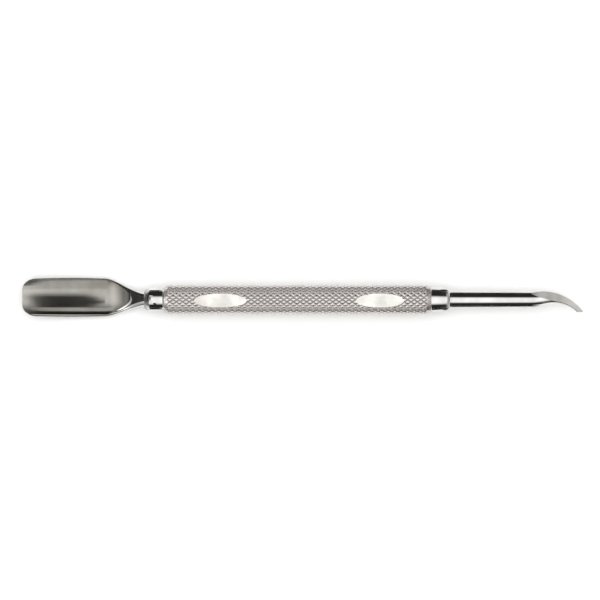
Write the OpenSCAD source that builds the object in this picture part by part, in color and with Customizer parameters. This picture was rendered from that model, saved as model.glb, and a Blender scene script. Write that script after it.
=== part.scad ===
// Double-ended cuticle pusher: a knurled bar with a spoon pusher at one end and a curved
// nail cleaner at the other, each held in the bar by a smooth collar. X runs along the
// tool with the spoon at -X, the bowl faces +Z, the cleaner's tip bends to -Y, and the
// origin is on the bar's axis at its middle. The tool lies on its bar and its bowl's belly.

/* [Handle] */
// Length of the handle bar
handle_len = 60.5; // [50:0.5:80]
// Diameter over the crests of the knurl
handle_d = 6.4; // [6:0.1:9]
// Length of the chamfer at each end of the bar
chamfer_len = 1.3; // [0.5:0.1:2]
// Diameter left at the end face, inside the chamfer
chamfer_d = 5.6; // [5.2:0.1:5.9]
// Depth of the blind socket in each end
socket_depth = 8; // [6:0.5:12]

/* [Ground windows] */
// Depth of a window at its middle
window_depth = 0.45; // [0.2:0.05:0.8]
// Length of the window nearer the spoon
spoon_window_len = 12; // [8:0.5:16]
// Distance of that window's middle from the bar's middle
spoon_window_x = 17.3; // [12:0.1:20]
// Length of the window nearer the cleaner
cleaner_window_len = 11; // [8:0.5:16]
// Distance of that window's middle from the bar's middle
cleaner_window_x = 18.7; // [12:0.1:20]
// Turn of both windows about the bar, towards -Y
window_lean = 4.5; // [0:0.5:8]

/* [Collars] */
// Diameter of the spoon collar's band
spoon_band_d = 5.4; // [5:0.1:6]
// Length of the spoon collar's band
spoon_band_len = 3.1; // [2:0.1:5]
// Length of the cone that closes the spoon collar down to the neck
spoon_nose_len = 1.2; // [0.6:0.1:2]
// Diameter of that cone's small end
spoon_nose_d = 4; // [3.6:0.1:4.6]
// Diameter of the cleaner collar's band at the handle
cleaner_band_d = 5.8; // [5.4:0.1:6.2]
// Length of the cleaner collar's band
cleaner_band_len = 4.3; // [3:0.1:6]
// Rounding of the cleaner collar's outer end
cleaner_band_round = 0.7; // [0.3:0.1:1]
// Diameter of the spigots that sit in the handle's sockets
spigot_d = 3.8; // [3.4:0.1:4.2]
// Length of the spigots
spigot_len = 7; // [4:0.5:7]
// Diameter of the tangs that pass through the collars
tang_d = 2.4; // [2:0.1:2.6]

/* [Spoon pusher] */
// Length from the collar's nose to the tip of the blade
spoon_len = 27.6; // [24:0.1:34]
// Width of the blade at its widest
blade_w = 8.9; // [8.6:0.02:11]
// Diameter of the neck where it leaves the collar
neck_d = 3.34; // [3:0.02:3.6]
// Length over which the neck flares out to the blade
flare_len = 9; // [7:0.5:11]
// Length over which the neck bends down to the blade's level
drop_len = 7; // [5:0.5:8]
// Sideways set of the blade from the bar's axis, towards +Y
blade_set = 0.5; // [0:0.05:0.8]
// Length of the blade's rounded front corners
corner_len = 3; // [2:0.1:4]
// Width of each rounded front corner
corner_w = 2.6; // [1.5:0.1:3]
// Depth of the bowl below its rims
bowl_depth = 0.8; // [0.7:0.05:1.3]
// Radius of the bowl across its width
bowl_r = 9.4; // [7.5:0.1:10.5]
// Radius of the bowl's floor along its length
bowl_sweep_r = 75; // [50:5:120]
// Thickness of metal under the bowl's floor
floor_t = 0.8; // [0.6:0.1:1.2]
// Thickness of metal under the floor at the tip
tip_t = 0.5; // [0.4:0.1:0.8]

/* [Curved cleaner] */
// Diameter of the rod at the collar
rod_d = 3.9; // [3.4:0.1:4.2]
// Diameter of the rod where its tip begins to be ground
rod_end_d = 3.7; // [3.2:0.1:4]
// Length of the plain rod
rod_len = 18.1; // [14:0.1:24]
// Length of the straight start of the ground tip
tip_straight = 2.8; // [1:0.1:4]
// Radius of the outside of the tip's bend
tip_bend_r = 11.8; // [9:0.1:16]
// How far the tip reaches to -Y of the bar's axis, where its end is cut off
tip_reach = 2.85; // [2:0.05:3]
// Width of the tip at its end, in the plane of the bend
tip_w = 1.34; // [0.8:0.02:1.8]
// Height of the tip at its end, across the bend
tip_h = 2; // [1:0.1:2.6]
// Length over which the rod tapers to the tip's width
tip_taper_len = 12.5; // [8:0.5:14]

/* [Hidden] */
$fn = 96;

half_len = handle_len / 2;
handle_r = handle_d / 2;
neck_r = neck_d / 2;
spoon_root = half_len + spoon_band_len + spoon_nose_len;   // distance to where the neck leaves its collar
rod_root = half_len + cleaner_band_len;                    // and to where the rod leaves its collar
tip_root = rod_root + rod_len;                             // and to where the rod's tip starts
floor_z = floor_t - handle_r;                              // the bowl's floor where it is lowest
corner_start = spoon_len - corner_len;
drop_lead = 2.5;                                           // how far inside the collar the neck's bend begins
cleaner_band_taper = 0.25;                                 // how much its radius falls towards its end
groove_d = 3.8;                                            // the relief turned between collar and rod
groove_len = 0.35;
overlap = 0.5;                                             // how far joined solids run into each other
widest_at = 0.61;                                          // where the blade is widest, along the spoon
barrel = 0.0023;                                           // how fast it narrows from there, per mm
rim_crown = 0.12;                                          // rounding over the top of the blade's rims
bowl_sweep = 30;                                           // enough turn to run out past the blade's tip
ring_points = 32;                                          // points round a lofted section
neck_step = 0.75;                                          // spacing of the sections along the flare
blade_steps = 6;                                           // sections along the blade
corner_step = 18;                                          // turn between sections in the front corners
tip_steps = 22;                                            // sections along the cleaner's tip
tip_start_d = rod_end_d - 0.04;                            // the tip is ground a hair under the rod
tip_flat = 0.15;                                           // how near the flat comes to the D's middle
fine = 240;                                                // $fn of the large, shallow rounds
// The tip is lofted to a little past the place where its outer line is cut off.
tip_run = tip_straight + tip_bend_r * PI / 180
    * acos(1 - (tip_reach + tip_start_d / 2 + overlap / 5) / tip_bend_r);

function ease(t) = let (u = max(0, min(1, t))) u * u * (3 - 2 * u);
function mix(a, b, t) = a + (b - a) * t;

// A round bar along X, which may taper to a second diameter.
module bar(x, length, d, end_d = 0) {
    translate([x, 0, 0]) rotate([0, 90, 0]) cylinder(d1 = d, d2 = end_d > 0 ? end_d : d, h = length);
}

// Joins rings of points, each with the same count, into one closed solid.
module skin(rings) {
    count = len(rings[0]);
    last = (len(rings) - 1) * count;
    sides = [for (i = [0:len(rings) - 2], k = [0:count - 1])
        let (a = i * count + k, b = i * count + (k + 1) % count)
        each [[a, b, b + count], [a, b + count, a + count]]];
    caps = [[for (k = [count - 1:-1:0]) k], [for (k = [0:count - 1]) last + k]];
    polyhedron(points = [for (ring = rings) each ring], faces = concat(sides, caps));
}

// The scoop of a grinding wheel that stands across the bar.
module window(x, length) {
    wheel_r = (length * length / 4 + window_depth * window_depth) / (2 * window_depth);
    rotate([window_lean, 0, 0]) translate([x, 0, handle_r - window_depth + wheel_r])
        rotate([90, 0, 0]) cylinder(r = wheel_r, h = handle_d * 2, center = true, $fn = fine);
}

module handle() {
    color("#9c9893")
    difference() {
        rotate([0, 90, 0]) rotate_extrude() polygon([
            [0, -half_len], [chamfer_d / 2, -half_len], [handle_r, -half_len + chamfer_len],
            [handle_r, half_len - chamfer_len], [chamfer_d / 2, half_len], [0, half_len]]);
        for (end = [0, 1]) mirror([end, 0, 0])
            bar(half_len - socket_depth, socket_depth + overlap, spigot_d);
        window(-spoon_window_x, spoon_window_len);
        window(cleaner_window_x, cleaner_window_len);
    }
}

// A collar turned about its own axis, with Z running out from the handle's end face.
module collar(outline) {
    difference() {
        rotate_extrude() polygon(concat(
            [[0, -spigot_len], [spigot_d / 2, -spigot_len], [spigot_d / 2, 0]], outline));
        translate([0, 0, -spigot_len - overlap]) cylinder(d = tang_d, h = spigot_len + half_len);
    }
}

module spoon_collar() {
    end_z = spoon_band_len + spoon_nose_len;
    color("#d9d9d6")
    translate([-half_len, 0, 0]) rotate([0, -90, 0]) collar([
        [spoon_band_d / 2, 0], [spoon_band_d / 2, spoon_band_len], [spoon_nose_d / 2, end_z], [0, end_z]]);
}

module cleaner_collar() {
    band_r = cleaner_band_d / 2;
    end_r = band_r - cleaner_band_taper;
    straight = cleaner_band_len - cleaner_band_round;
    round_end = [for (a = [0:15:90])
        [end_r - cleaner_band_round * (1 - cos(a)), straight + cleaner_band_round * sin(a)]];
    color("#d9d9d6")
    translate([half_len, 0, 0]) rotate([0, 90, 0])
        collar(concat([[band_r, 0]], round_end, [[0, cleaner_band_len]]));
}

// Half the blade's width at a distance d from the collar: a flare, a slight barrel, round corners.
function half_width(d) =
    let (from_widest = d - widest_at * spoon_len,
        into_corner = max(0, d - corner_start) / corner_len)
    mix(neck_r, blade_w / 2 - barrel * from_widest * from_widest, ease(d / flare_len))
        - corner_w * (1 - sqrt(max(0, 1 - into_corner * into_corner)));

// How far the bowl's floor has risen at a distance d from the collar.
function bowl_rise(d) = let (run = max(0, d - flare_len)) run * run / (2 * bowl_sweep_r);

// One section of the spoon's blank: a round neck that turns into a flat-topped, round-bellied blade.
function blank_ring(d) =
    let (drop = ease((d + drop_lead) / (drop_len + drop_lead)), set = blade_set * ease(d / flare_len),
        metal = mix(floor_t, tip_t, ease((d - flare_len) / (spoon_len - flare_len))),
        mid_z = mix(0, floor_z + bowl_depth + bowl_rise(d), drop),
        crown = mix(neck_r, rim_crown, drop), belly = mix(neck_r, bowl_depth + metal, drop))
    [for (k = [0:ring_points - 1]) let (a = 360 * k / ring_points)
        [-spoon_root - d, set + half_width(d) * cos(a), mid_z + (sin(a) > 0 ? crown : belly) * sin(a)]];

// The bowl that is pressed into the blank: a ball at the back and a swept round along the blade.
module bowl() {
    translate([-spoon_root - flare_len, blade_set, floor_z + bowl_r]) {
        sphere(r = bowl_r);
        translate([0, 0, bowl_sweep_r - bowl_r]) rotate([90, 90, 0])
            rotate_extrude(angle = -bowl_sweep, $fn = fine)
                translate([bowl_sweep_r - bowl_r, 0]) circle(r = bowl_r);
    }
}

module spoon_pusher() {
    stations = concat(
        [for (d = [0:neck_step:flare_len - overlap]) d],
        [for (i = [0:blade_steps]) mix(flare_len, corner_start, i / blade_steps)],
        [for (a = [corner_step:corner_step:90]) corner_start + corner_len * sin(a)]);
    color("#8f8d88") {
        difference() {
            skin([for (d = stations) blank_ring(d)]);
            bowl();
        }
        bar(-spoon_root - overlap, spoon_root + overlap - half_len + spigot_len, tang_d);
    }
}

// One section of the cleaner's tip, at a distance s along its outer line: a circle that turns
// into a D, whose flat faces up and out of the bend. The outer line is straight, then an arc.
function tip_ring(s) =
    let (turn = max(0, s - tip_straight) / tip_bend_r * 180 / PI,
        outer_x = tip_root + min(s, tip_straight) + tip_bend_r * sin(turn),
        outer_y = tip_start_d / 2 - tip_bend_r * (1 - cos(turn)),
        taper = ease(s / tip_taper_len),
        w = mix(tip_start_d, tip_w, taper), h = mix(tip_start_d, tip_h, taper) / 2,
        flat = mix(1, tip_flat, ease(s / (3 * tip_straight))),
        edge = acos(flat) > 45 ? cos(45 - acos(flat)) : 1)
    [for (k = [0:ring_points - 1])
        let (a = -360 * k / ring_points, cut = max(0, cos(a - 45) - flat) / sqrt(2),
            side = w * (cos(a) - cut - edge) / (1 + edge))
        [outer_x + side * sin(turn), outer_y + side * cos(turn), h * (sin(a) - cut)]];

module curved_cleaner() {
    color("#cfcfcc") {
        bar(half_len - spigot_len, spigot_len + cleaner_band_len + overlap, tang_d);
        bar(rod_root, groove_len + overlap, groove_d);
        bar(rod_root + groove_len, rod_len - groove_len, rod_d, rod_end_d);
        difference() {
            skin([for (i = [0:tip_steps]) tip_ring(mix(-overlap, tip_run, i / tip_steps))]);
            translate([tip_root, -tip_reach - handle_d, -handle_r])
                cube([2 * tip_bend_r, handle_d, handle_d]);
        }
    }
}

handle();
spoon_collar();
cleaner_collar();
spoon_pusher();
curved_cleaner();
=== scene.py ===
import math
import bpy
import numpy as np
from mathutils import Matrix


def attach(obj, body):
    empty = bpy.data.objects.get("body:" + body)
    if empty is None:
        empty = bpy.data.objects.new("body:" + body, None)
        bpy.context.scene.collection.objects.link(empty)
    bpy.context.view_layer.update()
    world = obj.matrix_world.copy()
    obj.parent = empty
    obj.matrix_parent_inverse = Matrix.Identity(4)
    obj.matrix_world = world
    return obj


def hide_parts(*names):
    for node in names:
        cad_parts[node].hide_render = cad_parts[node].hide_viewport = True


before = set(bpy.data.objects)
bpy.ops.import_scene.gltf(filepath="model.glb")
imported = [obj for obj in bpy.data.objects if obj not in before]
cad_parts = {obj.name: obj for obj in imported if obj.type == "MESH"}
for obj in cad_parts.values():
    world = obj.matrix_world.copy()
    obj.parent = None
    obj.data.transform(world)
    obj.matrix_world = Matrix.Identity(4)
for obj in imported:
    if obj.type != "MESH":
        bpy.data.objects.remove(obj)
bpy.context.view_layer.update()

# Every length below is in millimetres, and mm turns it into metres.
mm = 0.001
# A height or radius that nothing on the tool reaches.
outOfReach = 99
# Halvings that settle where an edge starts or a line ends.
halvings = 40


def ease(t):
    # 0 to 1 with a soft start and a soft end
    u = np.clip(t, 0.0, 1.0)
    return u * u * (3 - 2 * u)


def mix(a, b, t):
    return a + (b - a) * t


def linearColour(hexText):
    # sRGB hex to the linear values that the shaders use
    parts = [int(hexText[i:i + 2], 16) / 255 for i in (1, 3, 5)]
    return [p / 12.92 if p < 0.04045 else ((p + 0.055) / 1.055) ** 2.4 for p in parts] + [1.0]


def addNode(tree, kind, settings=None, inputs=None):
    # a new node, with its own settings, and its inputs set to values or linked to outputs
    node = tree.nodes.new(kind)
    for name, value in (settings or {}).items():
        setattr(node, name, value)
    for key, value in (inputs or {}).items():
        if isinstance(value, bpy.types.NodeSocket):
            tree.links.new(value, node.inputs[key])
        else:
            node.inputs[key].default_value = value
    return node


def newMaterial(name):
    material = bpy.data.materials.new(name)
    material.use_nodes = True
    material.node_tree.nodes.clear()
    return material, material.node_tree


def addPiece(name, points, faces, materials, faceMaterials=None, sharpAngle=28):
    # faces is an array of corner numbers, all with the same corner count, and points are in mm
    points = np.asarray(points, float)
    faces = np.asarray(faces, int)
    a, b, c = points[faces[:, 0]], points[faces[:, 1]], points[faces[:, 2]]
    volume = np.einsum("ij,ij->i", a, np.cross(b, c)).sum()
    if faces.shape[1] == 4:
        d = points[faces[:, 3]]
        volume += np.einsum("ij,ij->i", a, np.cross(c, d)).sum()
    if volume < 0:
        faces = faces[:, ::-1]  # turned so that every face looks outwards
    mesh = bpy.data.meshes.new(name)
    mesh.from_pydata((points * mm).tolist(), [], faces.tolist())
    mesh.validate(verbose=False)
    for material in materials:
        mesh.materials.append(material)
    mesh.polygons.foreach_set("use_smooth", np.ones(len(mesh.polygons), bool))
    mesh.set_sharp_from_angle(angle=math.radians(sharpAngle))
    if faceMaterials is not None:
        mesh.polygons.foreach_set("material_index", np.asarray(faceMaterials, np.int32))
        markMaterialBorders(mesh)
    mesh.update()
    piece = bpy.data.objects.new(name, mesh)
    bpy.context.scene.collection.objects.link(piece)
    return piece


def markMaterialBorders(mesh):
    # an edge between two finishes is a real edge, so it is drawn sharp
    corners = np.zeros(len(mesh.loops), np.int32)
    mesh.loops.foreach_get("edge_index", corners)
    kinds = np.zeros(len(mesh.polygons), np.int32)
    mesh.polygons.foreach_get("material_index", kinds)
    sizes = np.zeros(len(mesh.polygons), np.int32)
    mesh.polygons.foreach_get("loop_total", sizes)
    kindOfCorner = np.repeat(kinds, sizes)
    least = np.full(len(mesh.edges), len(mesh.materials))
    most = np.full(len(mesh.edges), -1)
    np.minimum.at(least, corners, kindOfCorner)
    np.maximum.at(most, corners, kindOfCorner)
    sharp = mesh.attributes.get("sharp_edge") or mesh.attributes.new("sharp_edge", "BOOLEAN", "EDGE")
    flags = np.zeros(len(mesh.edges), bool)
    sharp.data.foreach_get("value", flags)
    sharp.data.foreach_set("value", flags | (least != most))


def ringFaces(ringCount, around, closed=False):
    # quads between neighbouring rings, all with the same number of points
    rows = np.arange(ringCount if closed else ringCount - 1)[:, None]
    k = np.arange(around)[None, :]
    nextRow = (rows + 1) % ringCount
    nextK = (k + 1) % around
    quads = np.stack([rows * around + k, rows * around + nextK,
                      nextRow * around + nextK, nextRow * around + k], axis=-1)
    return quads.reshape(-1, 4)


def fanFaces(start, around, centre, backwards):
    # triangles that close a ring onto one middle point
    k = np.arange(around)
    fan = np.stack([np.full(around, centre), start + k, start + (k + 1) % around], axis=-1)
    return fan[:, ::-1] if backwards else fan


def splitQuads(quads):
    return np.concatenate([quads[:, [0, 1, 2]], quads[:, [0, 2, 3]]])


def roundedOutline(corners, steps=5):
    # corners are (x, radius from the axis, rounding), and a rounding of 0 keeps the corner
    outline = []
    for i, (x, r, rounding) in enumerate(corners):
        here = np.array([x, r])
        if rounding == 0:
            outline.append(here)
            continue
        before = np.array(corners[i - 1][:2]) - here
        after = np.array(corners[(i + 1) % len(corners)][:2]) - here
        before /= np.linalg.norm(before)
        after /= np.linalg.norm(after)
        for t in np.linspace(0, 1, steps + 1):
            # a quadratic curve from one side of the corner to the other
            outline.append(here + rounding * ((1 - t) ** 2 * before + t ** 2 * after))
    return np.array(outline)


def turned(outline, around=144, closed=True):
    # points and quads of an outline turned about the tool's axis
    angle = np.arange(around) * 2 * math.pi / around
    x = np.repeat(outline[:, 0:1], around, axis=1)
    y = outline[:, 1:2] * np.cos(angle)
    z = outline[:, 1:2] * np.sin(angle)
    points = np.stack([x, y, z], axis=-1).reshape(-1, 3)
    return points, ringFaces(len(outline), around, closed)


def markPoints(piece, name, values):
    # one number for each point, which a material reads by its name
    attribute = piece.data.attributes.new(name, "FLOAT", "POINT")
    attribute.data.foreach_set("value", np.asarray(values, np.float32))


def finishPiece(piece, node):
    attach(piece, "root")
    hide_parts(node)
    print("made", piece.name, "with", len(piece.data.polygons), "faces")


# Nickel-plated carbon steel, cold rolled between knurling wheels: pale warm grey, bright where the
# crests are rubbed, rougher in the grooves and painted darker there as shade, with a little dirt.
knurlFinish = {"crestColour": "#dad5d1", "grooveShadeAndDirtColour": "#b9b2ae", "crestRoughness": 0.2,
               "grooveRoughness": 0.36, "grainSize": 0.09, "grainHeight": 0.004,
               "wearSize": 2.4, "wearStrength": 0.5, "wearStart": 0.22}

# The same plated steel, ground by a fine wheel: bright, with faint lines along the tool. The lines
# of a real 400 grit wheel are 0.03 mm apart, drawn here at 0.09 mm so that they show.
groundFinish = {"colour": "#e4e2dd", "hazeColour": "#c9c6c0", "roughness": 0.17,
                "lineSpacing": 0.09, "lineStretch": 30, "lineHeight": 0.0035, "hazeSize": 3.0}

# Stainless steel, turned and buffed to a mirror: very bright lights, very dark darks, and hairlines
# from the buffing wheel.
polishedFinish = {"colour": "#e2e1df", "hazeColour": "#cfcecc", "roughness": 0.05,
                  "lineSpacing": 0.07, "turnedStretch": 30, "buffedStretch": 60, "lineHeight": 0.0006,
                  "turnedHaze": 2.0, "buffedHaze": 4.0}

# Stainless steel, the tip's flat ground on a belt: plain grey, with lights spread wide.
facetFinish = {"colour": "#c4c2be", "hazeColour": "#aeaba6", "roughness": 0.32,
               "lineSpacing": 0.1, "lineStretch": 12, "lineHeight": 0.004, "hazeSize": 2.5}

# Stainless steel, stamped and brushed along its length: lights that spread across the tool and stay
# crisp along it, and a darker, greyer colour that is painted shade for the bowl's dimmer reflections.
satinFinishWithShade = {"colour": "#9f9d97", "hazeColour": "#8f8b84", "roughness": 0.09,
               "lineSpacing": 0.12, "lineStretch": 40, "lineHeight": 0.0012, "hazeSize": 5.0}

# What the lined metals share: the noise levels between which the haze comes in, and how far their
# roughness goes down and up from its own value.
linedMetal = {"hazeSpread": (0.35, 0.7), "roughnessSpread": (0.8, 1.25)}

# The collars' ends, left rough as they came off the lathe, so with no mirror image, and painted a darker
# grey as shade.
turnedEndWithShade = {"mark": "asTurnedWithShade", "colour": "#a9a7a4", "roughness": 0.38}

# The outside of the bowl, brushed where the buffed neck ends: soft lights, and the satin's grey, which is
# painted shade.
brushedBellyWithShade = {"mark": "brushed", "colour": satinFinishWithShade["colour"], "roughness": 0.22}


def knurledSteel():
    material, tree = newMaterial("nickelPlatedKnurledSteel")
    f = knurlFinish
    place = addNode(tree, "ShaderNodeTexCoord").outputs["Object"]
    crest = addNode(tree, "ShaderNodeAttribute", {"attribute_name": "crest"}).outputs["Fac"]
    grain = addNode(tree, "ShaderNodeTexNoise", None,
                    {"Vector": place, "Scale": 1 / (f["grainSize"] * mm), "Detail": 3.0})
    wear = addNode(tree, "ShaderNodeTexNoise", None,
                   {"Vector": place, "Scale": 1 / (f["wearSize"] * mm), "Detail": 2.0})
    worn = addNode(tree, "ShaderNodeMath", {"operation": "MULTIPLY_ADD", "use_clamp": True},
                   {0: wear.outputs["Fac"], 1: f["wearStrength"], 2: -f["wearStart"]})
    height = addNode(tree, "ShaderNodeMath", {"operation": "SUBTRACT", "use_clamp": True},
                     {0: crest, 1: worn.outputs[0]})
    # darker towards the grooves: painted shade in the knurl's recesses, with a little dirt
    colour = addNode(tree, "ShaderNodeMix", {"data_type": "RGBA"},
                     {"Factor": height.outputs[0], 6: linearColour(f["grooveShadeAndDirtColour"]),
                      7: linearColour(f["crestColour"])})
    roughness = addNode(tree, "ShaderNodeMapRange", None,
                        {"Value": height.outputs[0], "To Min": f["grooveRoughness"],
                         "To Max": f["crestRoughness"]})
    bump = addNode(tree, "ShaderNodeBump", None,
                   {"Height": grain.outputs["Fac"], "Distance": f["grainHeight"] * mm})
    shader = addNode(tree, "ShaderNodeBsdfPrincipled", None,
                     {"Metallic": 1.0, "Base Color": colour.outputs[2],
                      "Roughness": roughness.outputs["Result"], "Normal": bump.outputs["Normal"]})
    addNode(tree, "ShaderNodeOutputMaterial", None, {"Surface": shader.outputs["BSDF"]})
    return material


def linedSteel(name, f, stretch, hazeSize, other=None):
    # a metal with fine lines along the axes that are stretched, and patches of haze
    material, tree = newMaterial(name)
    haze, spread = linedMetal["hazeSpread"], linedMetal["roughnessSpread"]
    place = addNode(tree, "ShaderNodeTexCoord").outputs["Object"]
    along = addNode(tree, "ShaderNodeMapping", None,
                    {"Vector": place, "Scale": [1 / (s * f["lineSpacing"] * mm) for s in stretch]})
    lines = addNode(tree, "ShaderNodeTexNoise", None,
                    {"Vector": along.outputs["Vector"], "Scale": 1.0, "Detail": 4.0, "Roughness": 0.6})
    patch = addNode(tree, "ShaderNodeTexNoise", None,
                    {"Vector": place, "Scale": 1 / (hazeSize * mm), "Detail": 3.0})
    blend = addNode(tree, "ShaderNodeMapRange", None,
                    {"Value": patch.outputs["Fac"], "From Min": haze[0], "From Max": haze[1]})
    colour = addNode(tree, "ShaderNodeMix", {"data_type": "RGBA"},
                     {"Factor": blend.outputs["Result"], 6: linearColour(f["colour"]),
                      7: linearColour(f["hazeColour"])})
    roughness = addNode(tree, "ShaderNodeMapRange", None,
                        {"Value": lines.outputs["Fac"], "To Min": f["roughness"] * spread[0],
                         "To Max": f["roughness"] * spread[1]})
    bump = addNode(tree, "ShaderNodeBump", None,
                   {"Height": lines.outputs["Fac"], "Distance": f["lineHeight"] * mm})
    if other:
        # where the piece is marked, the colour and the roughness go over to another finish, whose darker
        # colour is painted shade
        share = addNode(tree, "ShaderNodeAttribute", {"attribute_name": other["mark"]}).outputs["Fac"]
        colour = addNode(tree, "ShaderNodeMix", {"data_type": "RGBA"},
                         {"Factor": share, 6: colour.outputs[2], 7: linearColour(other["colour"])})
        roughness = addNode(tree, "ShaderNodeMapRange", None,
                            {"Value": share, "To Min": roughness.outputs["Result"],
                             "To Max": other["roughness"]})
    shader = addNode(tree, "ShaderNodeBsdfPrincipled", None,
                     {"Metallic": 1.0, "Base Color": colour.outputs[2],
                      "Roughness": roughness.outputs["Result"], "Normal": bump.outputs["Normal"]})
    addNode(tree, "ShaderNodeOutputMaterial", None, {"Surface": shader.outputs["BSDF"]})
    return material


def lengthways(stretch):
    # lines that run along the tool
    return stretch, 1, 1


turnedLines = (1, polishedFinish["turnedStretch"], polishedFinish["turnedStretch"])
buffedLines = lengthways(polishedFinish["buffedStretch"])
knurledMaterial = knurledSteel()
groundMaterial = linedSteel("groundNickelPlatedSteel", groundFinish,
                            lengthways(groundFinish["lineStretch"]), groundFinish["hazeSize"])
facetMaterial = linedSteel("groundFacetSteel", facetFinish,
                           lengthways(facetFinish["lineStretch"]), facetFinish["hazeSize"])
turnedMaterial = linedSteel("turnedPolishedSteel", polishedFinish, turnedLines,
                            polishedFinish["turnedHaze"], turnedEndWithShade)
buffedMaterial = linedSteel("buffedPolishedSteel", polishedFinish, buffedLines,
                            polishedFinish["buffedHaze"])
neckMaterial = linedSteel("buffedNeckSteel", polishedFinish, buffedLines,
                          polishedFinish["buffedHaze"], brushedBellyWithShade)
satinMaterialWithShade = linedSteel("brushedSatinSteelWithShade", satinFinishWithShade,
                           lengthways(satinFinishWithShade["lineStretch"]), satinFinishWithShade["hazeSize"])
print("finishes ready")


# The bar that the fingers hold. Each window is given by its middle along the bar and its length, and
# windowLean is in degrees towards -Y. On the windows' side the surface faces up by windowSide or more.
handle = {"length": 60.5, "crestDiameter": 6.4,
          "chamferLength": 1.3, "chamferDiameter": 5.6, "edgeBreak": 0.06,
          "socketDiameter": 3.8, "socketDepth": 8.0,
          "knurlStarts": 16, "knurlPitch": 1.47, "knurlDepth": 0.14, "grooveShare": 0.6,
          "crestCrown": 0.02, "stepsPerPitch": 10,
          "windowDepth": 0.45, "windowLean": 4.5, "windowSide": 0.05,
          "windows": ((-17.3, 12.0), (18.7, 11.0))}


def windowHeight(x, middle, length):
    # height of the wheel's scoop over the axis
    depth = handle["windowDepth"]
    wheel = (length * length / 4 + depth * depth) / (2 * depth)
    inside = np.clip(wheel ** 2 - (x - middle) ** 2, 0, None)
    return handle["crestDiameter"] / 2 - depth + wheel - np.sqrt(inside)


def makeHandle():
    h = handle
    half, radius = h["length"] / 2, h["crestDiameter"] / 2
    steps = h["stepsPerPitch"]
    around = h["knurlStarts"] * steps
    reach = int((half - h["edgeBreak"]) / (h["knurlPitch"] / steps))
    i = np.arange(-reach, reach + 1)[:, None]
    j = np.arange(around)[None, :]
    x = i * h["knurlPitch"] / steps + 0 * j
    angle = j * 2 * math.pi / around + 0 * i
    # how far each point is from the nearest groove of each family, from 0 in it to 1 midway
    toGroove = []
    for family in (i + j, i - j):
        share = (family % steps) / steps
        toGroove.append(np.minimum(share, 1 - share) * 2)
    nearest = np.minimum(toGroove[0], toGroove[1])
    crest = np.clip(nearest / h["grooveShare"], 0, 1)
    r = radius - h["knurlDepth"] * (1 - crest) - h["crestCrown"] * (1 - nearest)
    slope = (radius - h["chamferDiameter"] / 2) / h["chamferLength"]
    r = np.minimum(r, h["chamferDiameter"] / 2 + (half - np.abs(x)) * slope)
    lean = math.radians(h["windowLean"])
    up = np.maximum(np.cos(angle + lean), h["windowSide"])
    onWindow = np.zeros(r.shape, bool)
    for middle, length in h["windows"]:
        limit = windowHeight(x, middle, length) / up
        limit = np.where(up > h["windowSide"], limit, outOfReach)
        near = (np.abs(x - middle) < length) & (limit < radius)
        r = np.where(near, limit, r)
        onWindow |= near
    points = np.stack([x, r * np.sin(angle), r * np.cos(angle)], axis=-1).reshape(-1, 3)
    rows = 2 * reach + 1
    quads = ringFaces(rows, around)
    # each quad is split along the groove or crest edge that crosses it
    rowOf, columnOf = quads[:, 0] // around - reach, quads[:, 0] % around
    edge = int(round(h["grooveShare"] * steps / 2))
    marks = (0, edge, steps - edge)
    first = np.isin((rowOf + 1 + columnOf) % steps, marks)
    triangles = np.where(first[:, None, None],
                         np.stack([quads[:, [0, 1, 3]], quads[:, [1, 2, 3]]], axis=1),
                         np.stack([quads[:, [0, 1, 2]], quads[:, [0, 2, 3]]], axis=1)).reshape(-1, 3)
    # the ends: a broken edge, the end face and the blind socket
    groups, faces = [points], [triangles]
    count = len(points)
    faceR, socketR = h["chamferDiameter"] / 2, h["socketDiameter"] / 2
    rings = [(half, faceR - h["edgeBreak"]), (half, socketR + h["edgeBreak"]),
             (half - h["edgeBreak"], socketR), (half - h["socketDepth"], socketR)]
    k = np.arange(around)
    nextK = (k + 1) % around
    turn = k * 2 * math.pi / around
    for side, ringStart in ((-1, 0), (1, (rows - 1) * around)):
        previous = ringStart
        for endX, endR in rings:
            groups.append(np.stack([np.full(around, side * endX), endR * np.sin(turn),
                                    endR * np.cos(turn)], axis=-1))
            quad = np.stack([previous + k, previous + nextK, count + nextK, count + k], axis=-1)
            faces.append(splitQuads(quad[:, ::-1] if side < 0 else quad))
            previous = count
            count += around
        groups.append(np.array([[side * (half - h["socketDepth"]), 0, 0]]))
        faces.append(fanFaces(previous, around, count, side < 0))
        count += 1
    points = np.concatenate(groups)
    triangles = np.concatenate(faces)
    flags = np.zeros(len(points), bool)
    flags[:onWindow.size] = onWindow.ravel()
    kinds = flags[triangles].all(axis=1).astype(int)
    piece = addPiece("knurledHandle", points, triangles, [knurledMaterial, groundMaterial], kinds)
    heights = np.ones(len(points))
    heights[:crest.size] = crest.ravel()
    markPoints(piece, "crest", heights)
    finishPiece(piece, "handle")


makeHandle()


# The smooth collars, and how they and the working ends are pressed into the handle.
spoonCollar = {"bandDiameter": 5.4, "bandLength": 3.1, "noseLength": 1.2, "noseDiameter": 4.0,
               "edge": 0.14, "bandEdge": 0.07, "noseEdge": 0.3}
cleanerCollar = {"bandDiameter": 5.8, "bandLength": 4.3, "taper": 0.25, "endRound": 0.95, "edge": 0.14}
fit = {"spigotDiameter": 3.8, "spigotLength": 7.0, "tangDiameter": 2.4, "spigotEdge": 0.25,
       "buffFade": 0.15}


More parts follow.
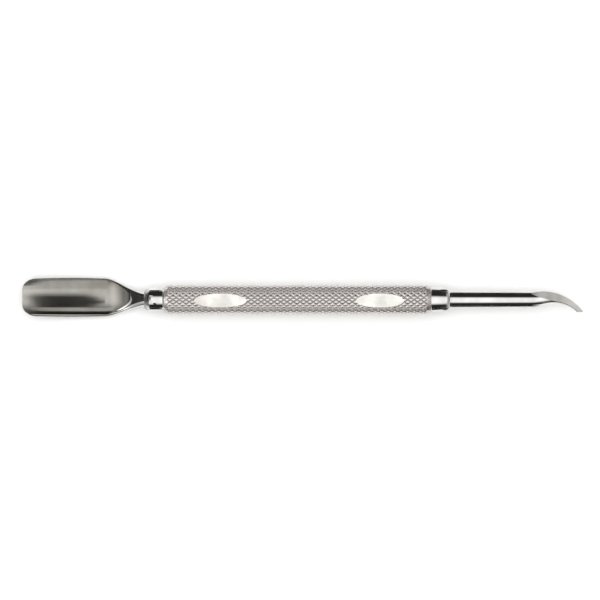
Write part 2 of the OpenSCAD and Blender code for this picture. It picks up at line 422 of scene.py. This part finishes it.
def makeCollar(name, node, side, bandEnd, corners):
    # corners go from the handle's end outwards, and the spigot in the handle's socket comes before them
    spigot, tang = fit["spigotDiameter"] / 2, fit["tangDiameter"] / 2
    base = [(-fit["spigotLength"], tang, 0), (-fit["spigotLength"], spigot, fit["spigotEdge"]),
            (0, spigot, 0)]
    outline = roundedOutline(base + corners)
    outline[:, 0] = side * (outline[:, 0] + handle["length"] / 2)
    points, quads = turned(outline)
    piece = addPiece(name, points, quads, [turnedMaterial])
    # the band is buffed, and the small end is left as it came off the lathe, rougher and painted darker as
    # shade
    out = np.abs(points[:, 0]) - handle["length"] / 2
    markPoints(piece, "asTurnedWithShade", ease((out - bandEnd) / fit["buffFade"]))
    finishPiece(piece, node)


def makeSpoonCollar():
    c = spoonCollar
    noseX = c["bandLength"] + c["noseLength"]
    makeCollar("spoonCollar", "spoon_collar", -1, c["bandLength"], [
        (0, c["bandDiameter"] / 2, c["edge"]), (c["bandLength"], c["bandDiameter"] / 2, c["bandEdge"]),
        (noseX, c["noseDiameter"] / 2, c["noseEdge"]), (noseX, fit["tangDiameter"] / 2, 0)])


def makeCleanerCollar():
    c = cleanerCollar
    makeCollar("cleanerCollar", "cleaner_collar", 1, c["bandLength"], [
        (0, c["bandDiameter"] / 2, c["edge"]),
        (c["bandLength"], c["bandDiameter"] / 2 - c["taper"], c["endRound"]),
        (c["bandLength"], fit["tangDiameter"] / 2, 0)])


makeSpoonCollar()
makeCleanerCollar()


# The pusher. Distances along it start at root, where the neck leaves its collar. The bowl is a ball
# of bowlRadius swept along sweepRadius, and the last values say how closely it is drawn.
spoon = {"root": 34.55, "length": 27.6, "width": 8.9, "neckDiameter": 3.34, "flareLength": 9.0,
         "dropLength": 7.0, "dropLead": 2.5, "sideSet": 0.5, "cornerLength": 3.0, "cornerWidth": 2.6,
         "bowlDepth": 0.8, "bowlRadius": 9.4, "sweepRadius": 75.0, "floorHeight": -2.4,
         "floorMetal": 0.8, "tipMetal": 0.5, "rimCrown": 0.12, "widestAt": 0.61, "barrel": 0.0023,
         "rimRound": 0.4, "buffedLength": 5.5, "buffFade": 3.0,
         "pointsPerHalf": 96, "creaseSteps": 4001, "neckRings": 44, "archGap": 0.02, "archRings": (0.2, 14),
         "archStep": 0.0035, "archReach": 0.8, "bladeStep": 0.16, "cornerRings": 34,
         "seamGap": (0.06, 0.35, 1.0), "seamLean": 3.0}


def spoonSection(d):
    # half width, sideways set, middle height, crown, belly and rim drop, at d from the collar
    s = spoon
    neck = s["neckDiameter"] / 2
    into = np.clip((d - (s["length"] - s["cornerLength"])) / s["cornerLength"], 0, 1)
    wide = s["width"] / 2 - s["barrel"] * (d - s["widestAt"] * s["length"]) ** 2
    half = mix(neck, wide, ease(d / s["flareLength"]))
    half = half - s["cornerWidth"] * (1 - math.sqrt(1 - into * into))
    drop = ease((d + s["dropLead"]) / (s["dropLength"] + s["dropLead"]))
    rise = max(0, d - s["flareLength"]) ** 2 / (2 * s["sweepRadius"])
    along = (d - s["flareLength"]) / (s["length"] - s["flareLength"])
    metal = mix(s["floorMetal"], s["tipMetal"], ease(along))
    middle = mix(0, s["floorHeight"] + s["bowlDepth"] + rise, drop)
    sideways = s["sideSet"] * ease(d / s["flareLength"])
    return (half, sideways, middle, mix(neck, s["rimCrown"], drop),
            mix(neck, s["bowlDepth"] + metal, drop), drop * min(s["rimRound"], half * 0.5))


def spoonOuter(d, angle):
    # a point of the uncut section; the rims' outer edges are rolled over
    half, sideways, middle, crown, belly, roll = spoonSection(d)
    across = half * np.cos(angle)
    over = np.clip(np.abs(across) - (half - roll), 0, None)
    fall = roll - np.sqrt(np.clip(roll * roll - over * over, 0, None))
    top = middle + crown * np.sin(angle) - fall
    bottom = middle - roll + (belly - roll) * np.sin(angle)
    return sideways + across, np.where(np.sin(angle) > 0, top, bottom)


def bowlFloor(d, y):
    # height of the pressed bowl, and a large height outside the ball's reach
    s = spoon
    r = s["bowlRadius"]
    dx = d - s["flareLength"]
    dy = y - s["sideSet"]
    centre = s["floorHeight"] + s["sweepRadius"]
    if dx >= 0:
        reach = np.clip(r * r - dy * dy, 0, None)
        tube = s["sweepRadius"] - r + np.sqrt(reach)
        return np.where(np.abs(dy) < r, centre - np.sqrt(tube ** 2 - dx * dx), outOfReach)
    reach = r * r - dy * dy - dx * dx
    return np.where(reach > 0, s["floorHeight"] + r - np.sqrt(np.clip(reach, 0, None)),
                    outOfReach)


def creaseAngles(d):
    # where the bowl's edge crosses the section, from the +Y side and from the -Y side
    found = []
    for start, stop in ((-math.pi / 2, math.pi * 1.5), (math.pi * 1.5, -math.pi / 2)):
        angle = np.linspace(start, stop, spoon["creaseSteps"])
        y, z = spoonOuter(d, angle)
        proud = z - bowlFloor(d, y)
        hits = np.nonzero((proud[1:] > 0) & (proud[:-1] <= 0))[0]
        if len(hits) == 0:
            return None
        k = hits[0]
        t = -proud[k] / (proud[k + 1] - proud[k])
        found.append(angle[k] + t * (angle[k + 1] - angle[k]))
    return found


def makeSpoon():
    s = spoon
    n = s["pointsPerHalf"]
    # the bowl's rear edge starts where the ball first cuts the neck
    low, high = 0.0, s["flareLength"]
    for _ in range(halvings):
        middle = (low + high) / 2
        low, high = (low, middle) if creaseAngles(middle) else (middle, high)
    arch = high
    cornerStart = s["length"] - s["cornerLength"]
    # rings crowd together where the bowl's edge starts, and at the round front corners
    stations = np.concatenate([
        np.linspace(0, arch - s["archGap"], s["neckRings"]),
        arch + s["archStep"] * np.arange(*s["archRings"]) ** 2,
        np.arange(arch + s["archReach"], cornerStart, s["bladeStep"]),
        cornerStart + s["cornerLength"] * np.sin(np.linspace(0, math.pi / 2, s["cornerRings"]))])
    stations = np.unique(np.round(stations, 6))
    rings = []
    creases = {d: creaseAngles(d) for d in stations}
    firstCut = min(d for d in stations if creases[d])
    apex = sum(creases[firstCut]) / 2
    for d in stations:
        pair = creases[d]
        if pair is None:
            # on the neck the upper side is a strip that widens away from the bowl
            least, growth, most = s["seamGap"]
            gap = min(most, least + growth * (arch - d))
            lean = mix(math.pi / 2, apex, ease(1 - (arch - d) / s["seamLean"]))
            pair = (lean - gap, lean + gap)
        right, left = pair
        # round the belly from the +Y crease to the -Y crease
        under = np.linspace(right, left - 2 * math.pi, n + 1)
        y1, z1 = spoonOuter(d, under)
        if creases[d] is None:
            y2, z2 = spoonOuter(d, np.linspace(left, right, n + 1))
        else:
            # points over the bowl are spread evenly by slope
            sines = np.clip((y1[[-1, 0]] - s["sideSet"]) / s["bowlRadius"], -1, 1)
            lean = np.linspace(*np.arcsin(sines), n + 1)
            y2 = s["sideSet"] + s["bowlRadius"] * np.sin(lean)
            z2 = bowlFloor(d, y2)
            y2[0], z2[0], y2[-1], z2[-1] = y1[-1], z1[-1], y1[0], z1[0]
        y = np.concatenate([y1, y2[1:-1]])
        z = np.concatenate([z1, z2[1:-1]])
        rings.append(np.stack([np.full(len(y), -s["root"] - d), y, z], axis=-1))
    # the tang that passes through the collar, with points lined up with the first ring
    first = rings[0]
    turn = np.arctan2(first[:, 2], first[:, 1])
    tang = fit["tangDiameter"] / 2
    tangEnd = -(handle["length"] / 2 - fit["spigotLength"])
    for x in (-s["root"], tangEnd):
        rings.insert(0, np.stack([np.full(len(turn), x), tang * np.cos(turn),
                                  tang * np.sin(turn)], axis=-1))
    points = np.concatenate(rings)
    around = 2 * n
    walls = ringFaces(len(rings), around)
    # the pressed bowl is satin, and the outside goes from the buffed neck to the brushed belly; the satin's
    # darker colour is painted shade
    rowCut = np.array([False, False] + [creases[d] is not None for d in stations])
    inBowl = rowCut[walls[:, 0] // around] & (walls[:, 0] % around >= n)
    kinds = [np.tile(np.where(inBowl, 0, 1), 2)]
    faces = [splitQuads(walls)]
    # caps as strips between the under side and the upper side
    for base, backwards in ((0, False), ((len(rings) - 1) * around, True)):
        lower = base + np.arange(0, n + 1)
        upper = base + np.concatenate([[0], 2 * n - np.arange(1, n), [n]])
        strip = np.stack([lower[:-1], lower[1:], upper[1:], upper[:-1]], axis=-1)
        split = splitQuads(strip[1:-1])
        ends = np.array([[lower[0], lower[1], upper[1]], [lower[n - 1], lower[n], upper[n - 1]]])
        cap = np.concatenate([split, ends])
        faces.append(cap if backwards else cap[:, ::-1])
        kinds.append(np.ones(len(cap), int))
    piece = addPiece("spoonPusher", points, np.concatenate(faces), [satinMaterialWithShade, neckMaterial],
                     np.concatenate(kinds))
    # the belly takes the satin's darker colour, which is painted shade
    markPoints(piece, "brushed", ease((-points[:, 0] - s["root"] - s["buffedLength"]) / s["buffFade"]))
    finishPiece(piece, "spoon_pusher")


makeSpoon()


# The nail cleaner. tipFlat is how near its ground flat comes to the middle of the D, and the last
# values say how closely it is drawn.
cleaner = {"rootX": 34.55, "rodDiameter": 3.9, "rodEndDiameter": 3.7, "rodLength": 18.1,
           "grooveDiameter": 3.8, "grooveLength": 0.35, "tipStraight": 2.8, "bendRadius": 11.8,
           "tipReach": 2.85, "tipWidth": 1.34, "tipHeight": 2.0, "taperLength": 12.5,
           "tipFlat": 0.15, "flatPoints": 24, "roundPoints": 72, "tipRings": 90,
           "shortestLine": 6.0, "longestLine": 17.0, "endEdge": 0.05, "rodEdge": (0.04, 0.03),
           "rodGaps": (1, 0.5), "rodRings": 12, "flatGrowth": 3, "sharpAngle": 24}


def tipPoint(s, flatShare, angleShare):
    # a point of the ground tip at s along its outer line; the section turns from a circle to a D,
    # whose flat faces upwards and outwards
    c = cleaner
    start = c["rodEndDiameter"]
    turn = np.clip(s - c["tipStraight"], 0, None) / c["bendRadius"]
    outerX = c["rootX"] + c["rodLength"] + np.minimum(s, c["tipStraight"]) + c["bendRadius"] * np.sin(turn)
    outerY = start / 2 - c["bendRadius"] * (1 - np.cos(turn))
    taper = ease(s / c["taperLength"])
    w = mix(start, c["tipWidth"], taper)
    h = mix(start, c["tipHeight"], taper) / 2
    flat = mix(1.0, c["tipFlat"], ease(s / (c["flatGrowth"] * c["tipStraight"])))
    spread = np.arccos(np.clip(flat, -1, 1))
    quarter = math.pi / 4
    angle = np.where(flatShare, quarter + spread * angleShare,
                     quarter + spread + (2 * math.pi - 2 * spread) * angleShare)
    edge = np.where(spread > quarter, np.cos(quarter - spread), 1.0)
    cut = np.clip(np.cos(angle - quarter) - flat, 0, None) / math.sqrt(2)
    side = w * (np.cos(angle) - cut - edge) / (1 + edge)
    return np.stack([outerX + side * np.sin(turn), outerY + side * np.cos(turn),
                     h * (np.sin(angle) - cut)], axis=-1)


def makeCleaner():
    c = cleaner
    flatShare = np.concatenate([np.ones(c["flatPoints"], bool), np.zeros(c["roundPoints"], bool)])
    angleShare = np.concatenate([np.linspace(-1, 1, c["flatPoints"] + 1)[:-1],
                                 np.linspace(0, 1, c["roundPoints"] + 1)[:-1]])
    around = len(flatShare)
    # each line along the tip runs until it reaches the plane where the tip is cut off
    low, high = np.full(around, c["shortestLine"]), np.full(around, c["longestLine"])
    for _ in range(halvings):
        middle = (low + high) / 2
        below = tipPoint(middle, flatShare, angleShare)[:, 1] < -c["tipReach"]
        high = np.where(below, middle, high)
        low = np.where(below, low, middle)
    ends = (low + high) / 2
    tip = [tipPoint(ends * k / c["tipRings"], flatShare, angleShare) for k in range(c["tipRings"] + 1)]
    tipRoot = c["rootX"] + c["rodLength"]
    rodAngles = np.arctan2(tip[1][:, 2], tip[1][:, 1])
    tangEnd = handle["length"] / 2 - fit["spigotLength"]
    tang, rod, rodEnd = fit["tangDiameter"] / 2, c["rodDiameter"] / 2, c["rodEndDiameter"] / 2
    groove = c["grooveDiameter"] / 2
    profile = [(tangEnd, tang), (c["rootX"], tang), (c["rootX"], groove),
               (c["rootX"] + c["grooveLength"], groove),
               (c["rootX"] + c["grooveLength"], rod - c["rodEdge"][1]),
               (c["rootX"] + c["grooveLength"] + c["rodEdge"][0], rod)]
    taper = np.linspace(c["rootX"] + c["rodGaps"][0], tipRoot - c["rodGaps"][1], c["rodRings"])
    profile += [(x, mix(rod, rodEnd, (x - c["rootX"]) / c["rodLength"])) for x in taper]
    rings = [np.stack([np.full(around, x), r * np.cos(rodAngles), r * np.sin(rodAngles)], axis=-1)
             for x, r in profile]
    rings += tip
    last = tip[-1]
    middle = last.mean(axis=0)
    inward = (middle - last) / np.linalg.norm(middle - last, axis=1)[:, None]
    rings.append(last + inward * c["endEdge"])
    points = np.concatenate(rings + [rings[0].mean(axis=0)[None], rings[-1].mean(axis=0)[None]])
    count = len(rings) * around
    walls = ringFaces(len(rings), around)
    faces = [splitQuads(walls), fanFaces(0, around, count, True),
             fanFaces(count - around, around, count + 1, False)]
    # the flat and the cut end are ground, and the rest is buffed
    tipStart = len(profile)
    onFlat = (walls[:, 0] // around >= tipStart) & (walls[:, 0] % around < c["flatPoints"])
    atEnd = walls[:, 0] // around >= len(rings) - 2
    kinds = np.concatenate([np.tile(np.where(onFlat | atEnd, 1, 0), 2),
                            np.zeros(around, int), np.ones(around, int)])
    piece = addPiece("curvedCleaner", points, np.concatenate(faces), [buffedMaterial, facetMaterial],
                     kinds, c["sharpAngle"])
    finishPiece(piece, "curved_cleaner")


makeCleaner()


# The table, the lights and the camera, which looks straight down.
studio = {"floorHeight": -3.2, "floorSize": 9000, "floorColour": "#f4f4f3",
          "fibreSize": 0.6, "fibreHeight": 0.01,
          # where the softbox starts, is full, stops being full and ends, along Y and along X
          "softboxHeight": 600, "softboxRadiance": 1.3,
          "softboxY": (-840, -270, 110, 480), "softboxX": (-1000, -200, 150, 560),
          # the room's light: what falls on the table, and what mirrors see
          "ambient": 1.08, "ambientTilt": 0.5, "backdrop": 1.0, "dark": 0.03,
          "corners": 0.2, "cornerSpread": (0.12, 0.42),
          "sides": 0.7, "sideSpread": (0.2, 0.5), "sideRise": (0.15, 0.4),
          # black and grey cloth and white cards near the tool, which only mirrors see
          "cardHeight": 58,
          "bladeFlag": ((-37.5, -18), (-37.5, 30), (-45.4, 30), (-47.4, 13), (-45.4, -4), (-44, -18)),
          "bladeFlagFade": (-18, 2),
          "collarFlag": ((-32.8, -36), (-35.6, -36), (-35.6, -90), (-32.8, -90)),
          "bladeCards": (((-36.4, 32), (-36.4, 46), (-80, 46), (-80, 30)),
                         ((-36.4, -24), (-36.4, -62), (-58, -62), (-58, -24))),
          "bladeCardRadiance": (0.95, 1.05),
          "neckFlag": ((-42, -4, 3), (-42, 8, 3), (-42, 8, 14), (-42, -4, 14)),
          "sideFlag": ((-42, 6, 1), (-35, 6, 1), (-35, 6, 14), (-42, 6, 14)),
          # flags that lie on the table: the near edge's ends, the far edge's end, and how far they reach
          "lowFlags": ((34.5, 57, 95, 13, 400), (34.5, 57, 95, -9, -400),
                       (29.5, 34.5, 50, 22, 400), (29.5, 34.5, 50, -14, -400),
                       (-29.5, -36, -60, 22, 400), (-29.5, -36, -60, -13, -400)),
          "lowFlagHeight": -3.1,
          "blackCloth": "#1a1a1a", "greyCloth": "#404040", "netCloth": "#3c3c3c",
          "lensLength": 200, "sensorWidth": 36, "cameraHeight": 754, "middle": (0.68, -0.11),
          "farthestSeen": 100000}


def stageCard(name, corners, material):
    mesh = bpy.data.meshes.new(name)
    mesh.from_pydata([[v * mm for v in corner] for corner in corners], [], [range(len(corners))])
    mesh.materials.append(material)
    card = bpy.data.objects.new(name, mesh)
    bpy.context.scene.collection.objects.link(card)
    return card


def paperMaterial():
    material, tree = newMaterial("matteWhitePaper")
    place = addNode(tree, "ShaderNodeTexCoord").outputs["Object"]
    fibres = addNode(tree, "ShaderNodeTexNoise", None,
                     {"Vector": place, "Scale": 1 / (studio["fibreSize"] * mm), "Detail": 3.0})
    bump = addNode(tree, "ShaderNodeBump", None,
                   {"Height": fibres.outputs["Fac"], "Distance": studio["fibreHeight"] * mm})
    shader = addNode(tree, "ShaderNodeBsdfDiffuse", None,
                     {"Color": linearColour(studio["floorColour"]), "Normal": bump.outputs["Normal"]})
    addNode(tree, "ShaderNodeOutputMaterial", None, {"Surface": shader.outputs["BSDF"]})
    return material


def clothMaterial(name, colour, fade=None):
    # dull cloth, thinning out to nothing across its -Y edge where a fade is given
    material, tree = newMaterial(name)
    shader = addNode(tree, "ShaderNodeBsdfDiffuse", None, {"Color": linearColour(colour)})
    surface = shader.outputs["BSDF"]
    if fade:
        place = addNode(tree, "ShaderNodeTexCoord").outputs["Object"]
        axes = addNode(tree, "ShaderNodeSeparateXYZ", None, {"Vector": place})
        share = addNode(tree, "ShaderNodeMapRange", {"interpolation_type": "SMOOTHSTEP"},
                        {"Value": axes.outputs["Y"], "From Min": fade[0] * mm, "From Max": fade[1] * mm})
        clear = addNode(tree, "ShaderNodeBsdfTransparent")
        both = addNode(tree, "ShaderNodeMixShader", None,
                       {0: share.outputs["Result"], 1: clear.outputs[0], 2: surface})
        surface = both.outputs["Shader"]
    addNode(tree, "ShaderNodeOutputMaterial", None, {"Surface": surface})
    return material


def cardMaterial(strength):
    material, tree = newMaterial("litWhiteCard")
    glow = addNode(tree, "ShaderNodeEmission", None, {"Strength": strength})
    addNode(tree, "ShaderNodeOutputMaterial", None, {"Surface": glow.outputs[0]})
    return material


def softboxMaterial():
    # bright in the middle, fading to nothing at its edges
    material, tree = newMaterial("softboxCloth")
    place = addNode(tree, "ShaderNodeTexCoord").outputs["Object"]
    axes = addNode(tree, "ShaderNodeSeparateXYZ", None, {"Vector": place})
    strength = studio["softboxRadiance"]
    y, x = studio["softboxY"], studio["softboxX"]
    for value, a, b in ((axes.outputs["Y"], y[0], y[1]), (axes.outputs["Y"], y[3], y[2]),
                        (axes.outputs["X"], x[0], x[1]), (axes.outputs["X"], x[3], x[2])):
        fade = addNode(tree, "ShaderNodeMapRange", {"interpolation_type": "SMOOTHSTEP"},
                       {"Value": value, "From Min": a * mm, "From Max": b * mm})
        product = addNode(tree, "ShaderNodeMath", {"operation": "MULTIPLY"},
                          {0: fade.outputs["Result"], 1: strength})
        strength = product.outputs[0]
    glow = addNode(tree, "ShaderNodeEmission", None, {"Strength": strength})
    clear = addNode(tree, "ShaderNodeBsdfTransparent")
    both = addNode(tree, "ShaderNodeAddShader", None, {0: glow.outputs[0], 1: clear.outputs[0]})
    addNode(tree, "ShaderNodeOutputMaterial", None, {"Surface": both.outputs["Shader"]})
    return material


def makeWorld():
    # even light for the table, white behind, and for mirrors a dark room with paler corners
    world = bpy.data.worlds.new("studioRoom")
    bpy.context.scene.world = world
    world.use_nodes = True
    tree = world.node_tree
    tree.nodes.clear()
    corner, side, rise = studio["cornerSpread"], studio["sideSpread"], studio["sideRise"]
    place = addNode(tree, "ShaderNodeTexCoord").outputs["Generated"]
    axes = addNode(tree, "ShaderNodeSeparateXYZ", None, {"Vector": place})
    product = addNode(tree, "ShaderNodeMath", {"operation": "MULTIPLY"},
                      {0: axes.outputs["X"], 1: axes.outputs["Y"]})
    diagonal = addNode(tree, "ShaderNodeMath", {"operation": "ABSOLUTE"}, {0: product.outputs[0]})
    paler = addNode(tree, "ShaderNodeMapRange", {"interpolation_type": "SMOOTHSTEP"},
                    {"Value": diagonal.outputs[0], "From Min": corner[0], "From Max": corner[1],
                     "To Min": studio["dark"], "To Max": studio["corners"]})
    sideways = addNode(tree, "ShaderNodeMath", {"operation": "ABSOLUTE"}, {0: axes.outputs["X"]})
    wall = addNode(tree, "ShaderNodeMapRange", {"interpolation_type": "SMOOTHSTEP"},
                   {"Value": sideways.outputs[0], "From Min": side[0], "From Max": side[1]})
    high = addNode(tree, "ShaderNodeMapRange", {"interpolation_type": "SMOOTHSTEP"},
                   {"Value": axes.outputs["Z"], "From Min": rise[0], "From Max": rise[1],
                    "To Max": studio["sides"]})
    lit = addNode(tree, "ShaderNodeMath", {"operation": "MULTIPLY"},
                  {0: wall.outputs["Result"], 1: high.outputs["Result"]})
    paler = addNode(tree, "ShaderNodeMath", {"operation": "MAXIMUM"},
                    {0: paler.outputs["Result"], 1: lit.outputs[0]})
    fill = addNode(tree, "ShaderNodeMath", {"operation": "MULTIPLY_ADD"},
                   {0: axes.outputs["Y"], 1: studio["ambient"] * studio["ambientTilt"],
                    2: studio["ambient"]})
    rays = addNode(tree, "ShaderNodeLightPath")
    mirror = addNode(tree, "ShaderNodeMix", {"data_type": "FLOAT"},
                     {"Factor": rays.outputs["Is Glossy Ray"], 2: fill.outputs[0],
                      3: paler.outputs[0]})
    seen = addNode(tree, "ShaderNodeMix", {"data_type": "FLOAT"},
                   {"Factor": rays.outputs["Is Camera Ray"], 2: mirror.outputs[0],
                    3: studio["backdrop"]})
    light = addNode(tree, "ShaderNodeBackground", None, {"Strength": seen.outputs[0]})
    addNode(tree, "ShaderNodeOutputWorld", None, {"Surface": light.outputs["Background"]})


def rectangle(x0, y0, x1, y1, height):
    return [(x0, y0, height), (x1, y0, height), (x1, y1, height), (x0, y1, height)]


size = studio["floorSize"]
floor = stageCard("paperFloor", rectangle(-size, -size, size, size, studio["floorHeight"]),
                  paperMaterial())
alongX, alongY = studio["softboxX"], studio["softboxY"]
softbox = stageCard("softbox", rectangle(alongX[0], alongY[0], alongX[3], alongY[3],
                                         studio["softboxHeight"]), softboxMaterial())
softbox.visible_camera = False


def mirrorOnlyCard(name, corners, material):
    # a card that shows only in the metal, and neither lights nor shades the table
    card = stageCard(name, corners, material)
    card.visible_camera = card.visible_diffuse = card.visible_shadow = False


def raised(corners):
    return [(x, y, studio["cardHeight"]) for x, y in corners]


black = clothMaterial("blackFlock", studio["blackCloth"])
grey = clothMaterial("greyFlock", studio["greyCloth"])
net = clothMaterial("blackNet", studio["netCloth"], studio["bladeFlagFade"])
mirrorOnlyCard("bladeFlag", raised(studio["bladeFlag"]), net)
mirrorOnlyCard("neckFlag", studio["neckFlag"], grey)
mirrorOnlyCard("sideFlag", studio["sideFlag"], grey)
mirrorOnlyCard("collarFlag", raised(studio["collarFlag"]), black)
for i, (x0, x1, x2, y0, y1) in enumerate(studio["lowFlags"]):
    z = studio["lowFlagHeight"]
    mirrorOnlyCard("lowFlag" + str(i), ((x0, y0, z), (x1, y0, z), (x2, y1, z), (x0, y1, z)), black)
for i, (corners, strength) in enumerate(zip(studio["bladeCards"], studio["bladeCardRadiance"])):
    mirrorOnlyCard("bladeCard" + str(i), raised(corners), cardMaterial(strength))
makeWorld()

camera = bpy.data.cameras.new("camera")
camera.lens = studio["lensLength"]
camera.sensor_width = studio["sensorWidth"]
camera.clip_end = studio["farthestSeen"] * mm
cameraObject = bpy.data.objects.new("camera", camera)
cameraObject.location = [v * mm for v in (*studio["middle"], studio["cameraHeight"])]
bpy.context.scene.collection.objects.link(cameraObject)
bpy.context.scene.camera = cameraObject
bpy.context.scene.view_settings.view_transform = "Standard"
print("studio ready")
